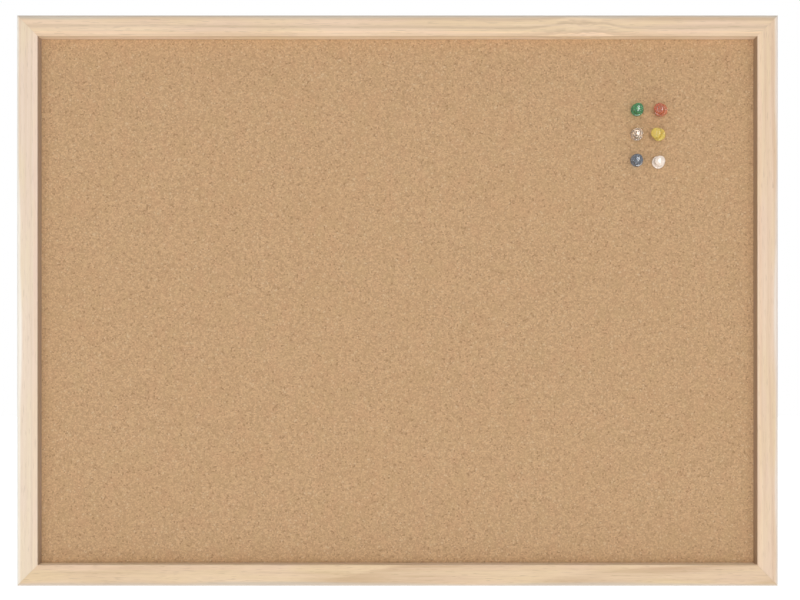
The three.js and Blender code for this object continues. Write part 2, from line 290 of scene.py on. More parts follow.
# How close the marks of the wood lie: waves to a metre along, across and into the rail.
WANDER_WAVES = (5, 30, 30)
CURL_WAVES = (55, 130, 130)
BROAD_WAVES = (9, 70, 70)
DRIFT_WAVES = (14, 110, 110)
STREAK_WAVES = (8, 520, 520)
PORE_WAVES = (110, 1700, 1700)
FIBRE_WAVES = (70, 2600, 2600)
RING_WANDER = 0.005
WEATHER_SWINGS = 0.7
GOOD_YEAR_SWINGS = 3.3
LATE_WOOD_BUILDS = (0.15, 0.80)
LATE_WOOD_ENDS = (0.82, 1.0)
NEXT_RAIL_WOOD = (3.7, 1.9, 5.3)
# What the wood's drifting hues, its pale streaks and its resin make of each channel of a colour.
ROSY = (1.0, 0.94, 0.96)
GOLDEN = (1.0, 0.98, 0.84)
PALER = 1.07
RESIN = 0.80
# Where the painted light and shade on the outer round-over, the painted highlight along the inner lip and
# the painted shade and light on the wall by the cork fade out, from the edge that each one follows.
PAINTED_RIM_LIGHT_BAND = (-0.0018, 0.0010)
PAINTED_RIM_LIGHT_SHARE = 0.70
PAINTED_RIM_LIGHT_DEPTH = (0.002, 0.006)
PAINTED_RIM_LIGHT_WANDER = 0.006
LIP_PAINTED_HIGHLIGHT_BAND = (0.0022, 0.0034)
LIP_PAINTED_HIGHLIGHT_WANDER = 0.002
WALL_PAINTED_SHADING_BAND = (0.0001, 0.0005)
UNCHANGED = (1.0, 1.0, 1.0)


def pine(name, along, across, edges, early, late, rim, lip, wall_painted_shading, heart, ring, lean, rise, swirl, seed):
    """Planed pine. The growth rings are tubes round the heart of the tree, which runs behind the face,
    leaning a little across the rail and rising towards its face, and the face cuts through them. The
    outer round-over is tinted to the rim's colour as painted light and shade: painted shade on the top and
    bottom rails, a painted sheen of the white surround on the stiles. A painted highlight runs along the
    inner lip, and the wall by the cork is painted darker on the stiles as painted shade and paler on the
    rails, most on the bottom one, as painted light."""
    material, tree, surface = blank_finish(name, specular_ior_level=0.35)
    place = add_node(tree, "ShaderNodeTexCoord").outputs["Object"]
    axes = add_node(tree, "ShaderNodeSeparateXYZ", {0: place}).outputs
    lengthwise = axes[along]
    rail_axes = {0: lengthwise, 1: axes[across], 2: axes["Y"]}
    oriented = add_node(tree, "ShaderNodeCombineXYZ", rail_axes).outputs[0]
    own_wood = tuple(seed * step for step in NEXT_RAIL_WOOD)

    def marks(waves, detail):
        return grainy(tree, stretch(tree, oriented, waves, own_wood), detail=detail)

    wander = calc(tree, "MULTIPLY_ADD", marks(WANDER_WAVES, 2.0), RING_WANDER, -RING_WANDER / 2)
    swirl_at, swirl_length, swirl_height, swirl_curl = swirl
    off_swirl = calc(tree, "MULTIPLY_ADD", lengthwise, 1 / swirl_length, -swirl_at / swirl_length)
    fading = calc(tree, "MULTIPLY", calc(tree, "MULTIPLY", off_swirl, off_swirl), -1.0)
    bulge = calc(tree, "EXPONENT", fading)
    curl = marks(CURL_WAVES, 2.0)
    curl = calc(tree, "MULTIPLY_ADD", curl, 2 * swirl_curl, swirl_height - swirl_curl)
    wander = calc(tree, "MULTIPLY_ADD", bulge, curl, wander)
    sideways = calc(tree, "ADD", calc(tree, "MULTIPLY_ADD", lengthwise, lean, -heart[0]), axes[across])
    sideways = calc(tree, "ADD", sideways, wander)
    inwards = calc(tree, "ADD", calc(tree, "MULTIPLY_ADD", lengthwise, rise, -heart[1]), axes["Y"])
    from_heart = add_node(tree, "ShaderNodeCombineXYZ", {0: sideways, 1: inwards}).outputs[0]
    years = calc(tree, "DIVIDE", distance(tree, from_heart), ring)
    weather = add_node(
        tree,
        "ShaderNodeTexNoise",
        {"W": years, "Scale": WEATHER_SWINGS},
        noise_dimensions="1D",
    )
    years = calc(tree, "ADD", years, weather.outputs["Fac"])
    season = calc(tree, "FRACT", years)
    late_wood = calc(
        tree,
        "MULTIPLY",
        between(tree, season, *LATE_WOOD_BUILDS),
        between(tree, season, *LATE_WOOD_ENDS, 1.0, 0.0),
    )
    good_years = add_node(
        tree,
        "ShaderNodeTexNoise",
        {"W": calc(tree, "FLOOR", years), "Scale": GOOD_YEAR_SWINGS},
        noise_dimensions="1D",
    )
    growth = between(tree, good_years.outputs["Fac"], 0.3, 0.7, 0.35, 1.0)
    late_wood = calc(tree, "MULTIPLY", late_wood, growth)

    fibre = marks(FIBRE_WAVES, 3.0)
    broad = marks(BROAD_WAVES, 1.0)
    streak = marks(STREAK_WAVES, 2.0)
    drift = marks(DRIFT_WAVES, 1.0)
    pores = between(tree, marks(PORE_WAVES, 0.0), 0.66, 0.78, 0.0, 0.45)
    pale = tuple(min(1.0, c * PALER) for c in early)
    resin = tuple(c * RESIN for c in late)
    rosy = tuple(c * hue for c, hue in zip(early, ROSY))
    golden = tuple(c * hue for c, hue in zip(early, GOLDEN))
    ground = tint(tree, between(tree, drift, 0.36, 0.64), rosy, golden)
    ground = tint(tree, 0.3, ground, early)
    wood = tint(tree, late_wood, ground, late)
    wood = tint(tree, between(tree, broad, 0.3, 0.75, 0.0, 0.5), wood, pale)
    wood = tint(tree, between(tree, streak, 0.52, 0.72, 0.0, 0.45), wood, pale)
    wood = tint(tree, between(tree, streak, 0.48, 0.28, 0.0, 0.35), wood, late)
    wood = tint(tree, between(tree, fibre, 0.35, 0.75, 0.0, 0.30), wood, late)
    wood = tint(tree, pores, wood, resin)
    outer_edge, inner_edge = edges
    # Painted light and shade on the outer round-over: the rim colour is painted shade on the top and
    # bottom rails and a painted sheen of the white surround on the stiles.
    from_rim = calc(tree, "ABSOLUTE", calc(tree, "SUBTRACT", axes[across], outer_edge))
    from_rim = calc(tree, "MULTIPLY_ADD", broad, -PAINTED_RIM_LIGHT_WANDER, from_rim)
    front, side = (FRAME_FRONT + depth for depth in PAINTED_RIM_LIGHT_DEPTH)
    painted_rim_light = calc(
        tree,
        "MULTIPLY",
        between(tree, from_rim, *PAINTED_RIM_LIGHT_BAND, PAINTED_RIM_LIGHT_SHARE, 0.0),
        between(tree, axes["Y"], front, side, 1.0, 0.0),
    )
    wood = tint(tree, painted_rim_light, wood, rim)
    from_wall = calc(tree, "ABSOLUTE", calc(tree, "SUBTRACT", axes[across], inner_edge))
    # A painted highlight along the inner lip, as if its eased edge caught the light.
    from_painted_lip_highlight = calc(tree, "MULTIPLY_ADD", broad, -LIP_PAINTED_HIGHLIGHT_WANDER, from_wall)
    wood = shade(tree, wood, tint(tree, between(tree, from_painted_lip_highlight, *LIP_PAINTED_HIGHLIGHT_BAND), lip, UNCHANGED))
    # Painted shade on the stiles' walls by the cork, and painted light on the rails' walls, most on the
    # bottom one.
    wood = shade(tree, wood, tint(tree, between(tree, from_wall, *WALL_PAINTED_SHADING_BAND), wall_painted_shading, UNCHANGED))
    tree.links.new(wood, surface.inputs["Base Color"])
    tree.links.new(between(tree, fibre, 0.2, 0.8, 0.44, 0.62), surface.inputs["Roughness"])
    relief = calc(tree, "MULTIPLY_ADD", late_wood, 0.5, fibre)
    raise_surface(tree, surface, relief, strength=0.12, depth=0.0002)
    return material


# Each rail: quarter turns from the bottom one, the axes along and across it, its outer edge, the way from
# there to the cork, and its own wood. That is the colours of early wood and late wood, the rim colour
# painted on the outer round-over (painted shade on the top and bottom rails, a painted sheen on the
# stiles), the painted highlight along the inner lip, the painted shade and light on the wall by the cork,
# the heart's place across and deep, the rings' width, lean and rise, the swirl's place, length, height
# and curl, and a seed.
RAILS = {
    "bottom_rail": (0, "X", "Z", OUTER_BOTTOM, 1, dict(
        early=(0.77, 0.59, 0.40), late=(0.55, 0.365, 0.21), rim=(0.54, 0.48, 0.415),
        lip=(1.02, 0.99, 1.00), wall_painted_shading=(1.10, 1.25, 1.42),
        heart=(OUTER_BOTTOM + 0.004, 0.012), ring=0.0052, lean=0.010, rise=0.030,
        swirl=(-0.055, 0.05, 0.006, 0.002), seed=1)),
    "right_stile": (1, "Z", "X", OUTER_RIGHT, -1, dict(
        early=(0.795, 0.62, 0.46), late=(0.70, 0.49, 0.33), rim=(0.87, 0.80, 0.74),
        lip=(1.05, 1.035, 1.025), wall_painted_shading=(0.535, 0.51, 0.49),
        heart=(OUTER_RIGHT + 0.035, 0.020), ring=0.0042, lean=0.004, rise=0.010,
        swirl=(-0.30, 0.06, 0.001, 0.0), seed=2)),
    "top_rail": (2, "X", "Z", OUTER_TOP, -1, dict(
        early=(0.80, 0.62, 0.445), late=(0.62, 0.45, 0.30), rim=(0.58, 0.535, 0.465),
        lip=(1.10, 1.07, 1.05), wall_painted_shading=(0.97, 1.03, 1.08),
        heart=(OUTER_TOP + 0.030, 0.015), ring=0.0046, lean=-0.002, rise=0.004,
        swirl=(0.145, 0.028, -0.004, 0.006), seed=3)),
    "left_stile": (3, "Z", "X", OUTER_LEFT, 1, dict(
        early=(0.805, 0.67, 0.53), late=(0.75, 0.58, 0.43), rim=(1.00, 0.96, 0.88),
        lip=(1.04, 1.01, 1.02), wall_painted_shading=(0.59, 0.565, 0.55),
        heart=(OUTER_LEFT - 0.045, 0.025), ring=0.0040, lean=0.003, rise=0.006,
        swirl=(-0.10, 0.08, 0.001, 0.0), seed=4)),
}
CORNER_NAILS = {
    "bottom_left_corner_nail": ("bottom_rail", "left_stile"),
    "bottom_right_corner_nail": ("bottom_rail", "right_stile"),
    "top_right_corner_nail": ("top_rail", "right_stile"),
    "top_left_corner_nail": ("top_rail", "left_stile"),
}
for node, (quarter_turns, along, across, outer_edge, inwards, wood) in RAILS.items():
    length, reach = BOARD_WIDTH, BOARD_HEIGHT / 2
    if along == "Z":
        length, reach = BOARD_HEIGHT, BOARD_WIDTH / 2
    rail = mitred_rail("pine_" + node, quarter_turns, length, reach)
    for nail, joined in CORNER_NAILS.items():
        if node in joined:
            carve(rail, corner_slot(nail))
    smooth(rail.data)
    edges = (outer_edge, outer_edge + inwards * RAIL_WIDTH)
    coat(rail, pine("pine of the " + node.replace("_", " "), along, across, edges, **wood))
    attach(rail, "board")
    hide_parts(node)


# Corner nails and framing points. Bright steel strip: a square bend driven across each mitre from
# behind, and flat points pushed into the wall of the rebate to hold the panel in.
DRAW_LINES = (300, 4000, 4000)
STEEL_BLOOM = (140, 140, 140)
DULLED = 0.72


def bright_steel(name, colour, roughness):
    """Rolled steel: fine draw lines, and a dull bloom where it has been handled."""
    material, tree, surface = blank_finish(name, metallic=1.0)
    place = add_node(tree, "ShaderNodeTexCoord").outputs["Object"]
    lines = grainy(tree, stretch(tree, place, DRAW_LINES), detail=2.0)
    bloom = grainy(tree, stretch(tree, place, STEEL_BLOOM), detail=3.0)
    dull = tuple(c * DULLED for c in colour)
    metal = tint(tree, between(tree, bloom, 0.35, 0.7), colour, dull)
    drawn = between(tree, lines, 0.2, 0.8, roughness - 0.1, roughness + 0.12)
    tree.links.new(metal, surface.inputs["Base Color"])
    tree.links.new(drawn, surface.inputs["Roughness"])
    raise_surface(tree, surface, lines, strength=0.1, depth=0.00005)
    return material


strip_steel = bright_steel("rolled steel strip", (0.56, 0.57, 0.58), 0.36)
for node in frame["nodes"]:
    if node.endswith("_corner_nail") or "_point_" in node:
        coat(frame["nodes"][node], strip_steel)


# Cork sheet. Granules of ground cork bark pressed and bonded into a thin sheet, sanded flat, so that its
# face is a close mosaic of tan grains with a few dark flecks of bark and pale grains among them.
CORK_LOW, CORK_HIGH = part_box("cork_sheet")
GRAIN_PITCH = 0.0018
GRAIN_RELIEF = 0.00010
RELIEF_WAVES = 700
RELIEF_SLICE = 3.1
COARSE_GRAINS = 880.0
FINE_GRAINS = 1900.0
MOTTLE_WAVES = (24, 24, 24)
HUE_WAVES = (85, 60, 60)
PITH_WAVES = (4200, 4200, 4200)
BROWN_GRAIN = (0.405, 0.250, 0.130)
TAN_GRAIN = (0.675, 0.442, 0.254)
HOLE_RADIUS = 0.00060
HOLE_LENGTH = 0.012
HOLE_SIDES = 18
PINS = ("green", "red", "clear", "yellow", "blue", "white")
PULLS = {joint["child"]: Vector(joint["axis"]).normalized() for joint in frame["joints"]}


def needle_tip(pin):
    """The sharp end of a pin's needle: its furthest point against the pull."""
    points = [vertex.co for vertex in frame["nodes"][pin + "_pin_needle"].data.vertices]
    return min(points, key=PULLS[pin + "_pin"].dot).copy()


def circle(centre, axis, radius, sides):
    """Points on a ring square to its axis."""
    turn = Vector((0, 0, 1)).rotation_difference(axis)
    angles = [2 * math.pi * i / sides for i in range(sides)]
    return [centre + turn @ Vector((radius * math.cos(a), radius * math.sin(a), 0)) for a in angles]


def needle_hole(pin):
    """The hole that a needle has made: a rod along its pull, from its tip to clear of the cork."""
    axis = PULLS[pin + "_pin"]
    tip = needle_tip(pin)
    ends = (tip, tip + axis * HOLE_LENGTH)
    return loft("needle_hole", [circle(end, axis, HOLE_RADIUS, HOLE_SIDES) for end in ends])


def cork_slab():
    """A slab whose front is a fine grid, sunk a little between the grains."""
    columns = round((CORK_HIGH.x - CORK_LOW.x) / GRAIN_PITCH)
    rows = round((CORK_HIGH.z - CORK_LOW.z) / GRAIN_PITCH)
    slab = bmesh.new()
    front = []
    for i in range(columns + 1):
        x = CORK_LOW.x + (CORK_HIGH.x - CORK_LOW.x) * i / columns
        line = []
        for j in range(rows + 1):
            z = CORK_LOW.z + (CORK_HIGH.z - CORK_LOW.z) * j / rows
            bumpy = noise.noise((x * RELIEF_WAVES, z * RELIEF_WAVES, RELIEF_SLICE))
            sunk = GRAIN_RELIEF * (0.5 + 0.5 * bumpy)
            line.append(slab.verts.new((x, CORK_LOW.y + sunk, z)))
        front.append(line)
    for left, right in zip(front, front[1:]):
        for j in range(rows):
            slab.faces.new((left[j], right[j], right[j + 1], left[j + 1]))
    rim = (
        [line[0] for line in front]
        + front[-1][1:]
        + [line[-1] for line in front[-2::-1]]
        + front[0][-2:0:-1]
    )
    back = [slab.verts.new((vertex.co.x, CORK_HIGH.y, vertex.co.z)) for vertex in rim]
    for i in range(len(rim)):
        slab.faces.new((rim[i], rim[i - 1], back[i - 1], back[i]))
    slab.faces.new(back)
    bmesh.ops.recalc_face_normals(slab, faces=slab.faces)
    mesh = bpy.data.meshes.new("cork_face")
    slab.to_mesh(mesh)
    slab.free()
    return place_piece("cork_face", mesh)


def split_wide_faces(mesh):
    """Splits the many-sided faces that the cuts leave into even triangles."""
    shell = bmesh.new()
    shell.from_mesh(mesh)
    wide = [face for face in shell.faces if len(face.verts) > 4]
    bmesh.ops.triangulate(shell, faces=wide, ngon_method="BEAUTY")
    shell.to_mesh(mesh)
    shell.free()


def cork_finish():
    """Grains of two sizes in their own tans and a slow mottle, with dark gaps, bark and pale grains."""
    name = "pressed cork granules"
    material, tree, surface = blank_finish(name, roughness=0.92, specular_ior_level=0.2)
    place = add_node(tree, "ShaderNodeTexCoord").outputs["Object"]

    def granules(per_metre):
        wiring = {"Vector": place, "Scale": per_metre, "Randomness": 1.0}
        cells = add_node(tree, "ShaderNodeTexVoronoi", wiring)
        chance = add_node(tree, "ShaderNodeSeparateColor", {0: cells.outputs["Color"]}).outputs[0]
        return chance, cells.outputs["Distance"]

    coarse, gap = granules(COARSE_GRAINS)
    fine, _ = granules(FINE_GRAINS)
    mottle = grainy(tree, stretch(tree, place, MOTTLE_WAVES), detail=3.0, roughness=0.6)
    hue = grainy(tree, stretch(tree, place, HUE_WAVES), detail=2.0)
    pith = grainy(tree, stretch(tree, place, PITH_WAVES), detail=2.0)
    cork = tint(tree, coarse, BROWN_GRAIN, TAN_GRAIN)
    # What each tint follows, where it starts and is full, how far it covers at most, and its colour.
    tints = (
        (fine, 0.0, 1.0, 0.50, (0.560, 0.352, 0.186)),
        (mottle, 0.35, 0.7, 0.20, (0.550, 0.330, 0.165)),
        (hue, 0.5, 0.7, 0.25, (0.570, 0.325, 0.180)),
        (hue, 0.5, 0.3, 0.25, (0.505, 0.340, 0.170)),
        (pith, 0.40, 0.70, 0.22, (0.74, 0.50, 0.29)),
        (gap, 0.42, 0.80, 0.30, (0.36, 0.215, 0.105)),
        (coarse, 0.955, 0.975, 0.60, (0.24, 0.130, 0.06)),
        (coarse, 0.04, 0.02, 0.45, (0.80, 0.60, 0.39)),
    )
    for follows, begins, full, cover, colour in tints:
        cork = tint(tree, between(tree, follows, begins, full, 0.0, cover), cork, colour)
    tree.links.new(cork, surface.inputs["Base Color"])
    relief = calc(tree, "MULTIPLY_ADD", fine, 0.4, calc(tree, "MULTIPLY", gap, -0.8))
    raise_surface(tree, surface, relief, strength=0.35, depth=0.0003)
    return material


cork_face = cork_slab()
for pin in PINS:
    carve(cork_face, needle_hole(pin))
split_wide_faces(cork_face.data)
smooth(cork_face.data, crease=50)
coat(cork_face, cork_finish())
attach(cork_face, "board")
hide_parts("cork_sheet")


# Softboard core and hardboard back. Wood fibre felted loosely for the needles to bite in, and the same
# fibre pressed hard and dark into a thin sheet that closes the back. The wire mesh it was pressed on
# has left its weave on the side that shows.
MESH_PITCH = 0.0021
FIBRE_LIES = (14, 55, -28, -71, 97)
FLECK_WAVES = (210, 1400, 1400)
CLOUD_WAVES = (16, 16, 16)
BLOTCH_WAVES = (110, 110, 110)
BLOTCH_SHIFT = (4, 7, 2)


def fibre_board(name, colour, dark, pale, roughness, fibres, relief, mesh):
    """Felted wood fibre: clouds and blotches, fibres strewn in every lie, and the weave of the mesh."""
    material, tree, surface = blank_finish(name, specular_ior_level=0.3)
    place = add_node(tree, "ShaderNodeTexCoord").outputs["Object"]
    axes = add_node(tree, "ShaderNodeSeparateXYZ", {0: place}).outputs
    felt = grainy(tree, stretch(tree, place, (fibres, fibres, fibres)), detail=5.0, roughness=0.7)
    cloud = grainy(tree, stretch(tree, place, CLOUD_WAVES), detail=3.0)
    blotched = stretch(tree, place, BLOTCH_WAVES, BLOTCH_SHIFT)
    blotch = grainy(tree, blotched, detail=3.0, roughness=0.65)
    board = tint(tree, between(tree, felt, 0.3, 0.72), dark, colour)
    board = tint(tree, between(tree, cloud, 0.3, 0.75, 0.0, 0.5), board, dark)
    board = tint(tree, between(tree, blotch, 0.5, 0.75, 0.0, 0.20), board, pale)
    for lie in FIBRE_LIES:
        turn = {"Vector": place, "Axis": (0, 1, 0), "Angle": math.radians(lie)}
        strewn = add_node(tree, "ShaderNodeVectorRotate", turn).outputs[0]
        fleck = grainy(tree, stretch(tree, strewn, FLECK_WAVES, (lie, lie, lie)), detail=1.0)
        board = tint(tree, between(tree, fleck, 0.64, 0.76, 0.0, 0.30), board, pale)
        board = tint(tree, between(tree, fleck, 0.34, 0.24, 0.0, 0.45), board, dark)
    turns = [calc(tree, "MULTIPLY", axes[a], 2 * math.pi / MESH_PITCH) for a in ("X", "Z")]
    weave = calc(tree, "MULTIPLY", *[calc(tree, "SINE", turn) for turn in turns])
    board = tint(tree, between(tree, weave, 0.3, -0.7, 0.0, mesh), board, dark)
    tree.links.new(board, surface.inputs["Base Color"])
    pressed = between(tree, felt, 0.25, 0.8, roughness + 0.1, roughness - 0.1)
    tree.links.new(pressed, surface.inputs["Roughness"])
    height = calc(tree, "MULTIPLY_ADD", weave, mesh, felt)
    raise_surface(tree, surface, height, strength=relief, depth=0.0003)
    return material


softboard = fibre_board(
    "felted softboard",
    colour=(0.50, 0.35, 0.19),
    dark=(0.36, 0.24, 0.12),
    pale=(0.60, 0.45, 0.28),
    roughness=0.9,
    fibres=900,
    relief=0.5,
    mesh=0.0,
)
hardboard = fibre_board(
    "pressed hardboard",
    colour=(0.29, 0.160, 0.080),
    dark=(0.15, 0.075, 0.036),
    pale=(0.43, 0.27, 0.150),
    roughness=0.55,
    fibres=520,
    relief=0.5,
    mesh=0.6,
)
coat(frame["nodes"]["softboard_core"], softboard)
coat(frame["nodes"]["hardboard_back"], hardboard)


# Sawtooth hangers. Each is pressed from thin zinc-plated strip: two feet with a hole for a nail, and a
# raised bridge between them, notched along its lower edge, that a nail in the wall goes under.
HANGER_THICKNESS = 0.0008
HANGER_RISE = 0.0016
HANGER_BRIDGE = 0.021
HANGER_SHOULDER = 0.002
HANGER_ROUND = 0.003
ROUND_STEP = 15
SLOPE_STEPS = 6
NOTCHES = 7
NOTCH_DEPTH = 0.0016
NOTCH_TIP = 0.0006
NAIL_HOLE_RADIUS = 0.0008
NAIL_HOLE_SIDES = 24


def hanger_rise(x):
    """How far the strip stands off the wood, with an easy bend at each end of its slopes."""
    slope = (HANGER_BRIDGE / 2 + HANGER_SHOULDER - abs(x)) / HANGER_SHOULDER
    slope = min(1.0, max(0.0, slope))
    return HANGER_RISE * slope * slope * (3 - 2 * slope)


def notch_depth(x):
    """How deep the lower edge is cut at x: flat teeth with sharp notches between them."""
    pitch = HANGER_BRIDGE / NOTCHES
    if abs(x) > HANGER_BRIDGE / 2:
        return 0.0
    from_notch = abs((x / pitch + NOTCHES / 2) % 1.0 - 0.5) * pitch
    mouth = (pitch - NOTCH_TIP) / 2
    return NOTCH_DEPTH * max(0.0, 1 - from_notch / mouth)


def hanger_stations(half_length):
    """Places along the strip where its outline bends: round ends, slopes, teeth and notches."""
    pitch = HANGER_BRIDGE / NOTCHES
    mouth = (pitch - NOTCH_TIP) / 2
    turns = [math.radians(angle) for angle in range(0, 91, ROUND_STEP)]
    places = {half_length - HANGER_ROUND * (1 - math.cos(a)) for a in turns}
    places |= {HANGER_BRIDGE / 2 + HANGER_SHOULDER * i / SLOPE_STEPS for i in range(SLOPE_STEPS + 1)}
    places |= {-x for x in places}
    for i in range(NOTCHES):
        middle = (i + 0.5 - NOTCHES / 2) * pitch
        places |= {middle - mouth, middle, middle + mouth}
    return sorted(round(x, 7) for x in places)


def sawtooth_hanger(name, node):
    """The pressed strip, drawn station by station along its length."""
    low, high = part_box(node)
    middle = (low + high) / 2
    half_length = (high.x - low.x) / 2
    rings = []
    for x in hanger_stations(half_length):
        past_round = max(0.0, abs(x) - (half_length - HANGER_ROUND))
        inset = HANGER_ROUND - math.sqrt(max(0.0, HANGER_ROUND**2 - past_round**2))
        top = high.z - inset
        bottom = low.z + inset + notch_depth(x)
        wood_side = low.y + hanger_rise(x)
        wall_side = wood_side + HANGER_THICKNESS
        ring = [(wood_side, bottom), (wood_side, top), (wall_side, top), (wall_side, bottom)]
        rings.append([(middle.x + x, y, z) for y, z in ring])
    return loft(name, rings)


def nail_hole(node):
    """The hole punched in a hanger's foot for a nail."""
    low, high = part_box(node)
    middle = (low + high) / 2
    axis = Vector((0, 1, 0))
    ends = [Vector((middle.x, y, middle.z)) for y in (FRAME_BACK - CUT_PAST, high.y + CUT_PAST)]
    return loft("nail_hole", [circle(end, axis, NAIL_HOLE_RADIUS, NAIL_HOLE_SIDES) for end in ends])


zinc = bright_steel("zinc-plated strip", (0.62, 0.60, 0.54), 0.40)
for side in ("left", "right"):
    node = side + "_hanger"
    hanger = sawtooth_hanger("pressed_" + node, node)
    for number in (1, 2):
        carve(hanger, nail_hole(f"{node}_nail_{number}"))
    smooth(hanger.data, crease=25)
    coat(hanger, zinc)
    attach(hanger, "board")
    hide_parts(node)


# Hanger nails. Short nails cut from bright steel wire, pointed at one end and pressed to a domed head at
# the other, two driven through the feet of each hanger into the back of the top rail.
NAIL_RADIUS = 0.0006
NAIL_HEAD_RADIUS = 0.0018
NAIL_HEAD = 0.0008
NAIL_HEAD_RIM = 0.4
NAIL_HEAD_DOME = 0.8
NAIL_POINT = 0.002


def turned(name, profile, into_board, sides=40):
    """A piece turned on a lathe: a profile of radius and height that starts and ends on the axis."""
    blank = bmesh.new()
    rings = []
    for radius, height in profile:
        if radius == 0:
            rings.append([blank.verts.new(into_board @ Vector((0, 0, height)))])
            continue
        ring = []
        for i in range(sides):
            a = 2 * math.pi * i / sides
            point = Vector((radius * math.cos(a), radius * math.sin(a), height))
            ring.append(blank.verts.new(into_board @ point))
        rings.append(ring)
    for near, far in zip(rings, rings[1:]):
        for i in range(sides):
            if len(near) == 1:
                corners = (near[0], far[i], far[i - 1])
            elif len(far) == 1:
                corners = (near[i - 1], near[i], far[0])
            else:
                corners = (near[i - 1], near[i], far[i], far[i - 1])
            blank.faces.new(corners)
    bmesh.ops.recalc_face_normals(blank, faces=blank.faces)
    mesh = bpy.data.meshes.new(name)
    blank.to_mesh(mesh)
    blank.free()
    return place_piece(name, mesh)


def bow(start, pull, end, steps=8):
    """Points on a curve from start to end that is drawn towards pull, without its first point."""
    points = []
    for i in range(1, steps + 1):
        t = i / steps
        weights = ((1 - t) ** 2, 2 * t * (1 - t), t * t)
        points.append(tuple(sum(w * p[k] for w, p in zip(weights, (start, pull, end))) for k in (0, 1)))
    return points


wire_steel = bright_steel("bright wire", (0.52, 0.52, 0.52), 0.30)
for node in [name for name in frame["nodes"] if "_hanger_nail_" in name]:
    low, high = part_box(node)
    under_head = high.y - NAIL_HEAD
    rim = (NAIL_HEAD_RADIUS, under_head + NAIL_HEAD * NAIL_HEAD_RIM)
    profile = [(0, low.y), (NAIL_RADIUS, low.y + NAIL_POINT), (NAIL_RADIUS, under_head)]
    profile += [(NAIL_HEAD_RADIUS, under_head), rim]
    profile += bow(rim, (NAIL_HEAD_RADIUS * NAIL_HEAD_DOME, high.y), (0, high.y))
    middle = (low + high) / 2
    upright = Matrix.Translation((middle.x, 0, middle.z)) @ Matrix.Rotation(-math.pi / 2, 4, "X")
    nail = turned("wire_" + node, profile, upright, sides=24)
    smooth(nail.data)
    coat(nail, wire_steel)
    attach(nail, "board")
    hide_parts(node)


# Push pins. A plated steel needle moulded into a spool of polystyrene, with a broad flange below, a
# waist for the fingers and a domed grip on top. Pushed in by hand, each leans its own way along its pull.
NEEDLE_RADIUS = 0.00055
NEEDLE_LENGTH = 0.010
NEEDLE_SEAT = 0.007
NEEDLE_POINT = 0.003
FLANGE_RADIUS = 0.0050
FLANGE_RIM = 0.0013
WAIST_RADIUS = 0.0026
GRIP_RADIUS = 0.0040
WAIST_START = 0.004
WAIST_END = 0.008
GRIP_START = 0.010
GRIP_END = 0.0116
HEAD_TOP = 0.0125
CROWN_SPREAD = 0.7
POINT_SWELL = 0.6
MOULD_EASE = 0.0003
BORE_EASE = 0.00002
FLOW_WAVES = (260, 260, 260)
CLOUDY = 0.90


def head_profile():
    """From the needle's seat out over the flange, in to the waist and up to the crown."""
    bore = NEEDLE_RADIUS + BORE_EASE
    seat = NEEDLE_SEAT + BORE_EASE
    ease = MOULD_EASE
    points = [(0, seat), (bore, seat), (bore, 0), (FLANGE_RADIUS - ease, 0)]
    points += bow(points[-1], (FLANGE_RADIUS, 0), (FLANGE_RADIUS, ease), 4)
    points += [(FLANGE_RADIUS, FLANGE_RIM - ease)]
    points += bow(points[-1], (FLANGE_RADIUS, FLANGE_RIM), (FLANGE_RADIUS - 2 * ease, FLANGE_RIM), 4)
    points += bow(points[-1], (WAIST_RADIUS, FLANGE_RIM), (WAIST_RADIUS, WAIST_START), 12)
    points += [(WAIST_RADIUS, WAIST_END)]
    points += bow(points[-1], (WAIST_RADIUS, GRIP_START), (GRIP_RADIUS - 2 * ease, GRIP_START), 12)
    points += bow(points[-1], (GRIP_RADIUS, GRIP_START), (GRIP_RADIUS, GRIP_START + ease), 4)
    points += [(GRIP_RADIUS, GRIP_END - ease)]
    points += bow(points[-1], (GRIP_RADIUS, GRIP_END), (GRIP_RADIUS - ease, GRIP_END + ease), 4)
    points += bow(points[-1], (GRIP_RADIUS * CROWN_SPREAD, HEAD_TOP), (0, HEAD_TOP), 10)
    return points


def moulded_plastic(name, body, see_through, stain, stain_density):
    """Moulded polystyrene with soft flow marks. Its stain lies in its depth, so that the thin flange is
    pale and the thick grip is strong in colour, over a little cloudiness of the body."""
    material, tree, surface = blank_finish(name, transmission_weight=see_through, ior=1.5)
    place = add_node(tree, "ShaderNodeTexCoord").outputs["Object"]
    flow = grainy(tree, stretch(tree, place, FLOW_WAVES), detail=2.0)
    cloudy = tuple(c * CLOUDY for c in body)
    plastic = tint(tree, between(tree, flow, 0.3, 0.7), body, cloudy)
    tree.links.new(plastic, surface.inputs["Base Color"])
    tree.links.new(between(tree, flow, 0.3, 0.7, 0.06, 0.14), surface.inputs["Roughness"])
    raise_surface(tree, surface, flow, strength=0.05, depth=0.0003)
    if stain_density:
        depth = tree.nodes.new("ShaderNodeVolumeAbsorption")
        depth.inputs["Color"].default_value = (*stain, 1.0)
        depth.inputs["Density"].default_value = stain_density
        tree.links.new(depth.outputs[0], tree.nodes["Material Output"].inputs["Volume"])
    return material


plated_steel = bright_steel("plated needle steel", (0.70, 0.70, 0.71), 0.16)
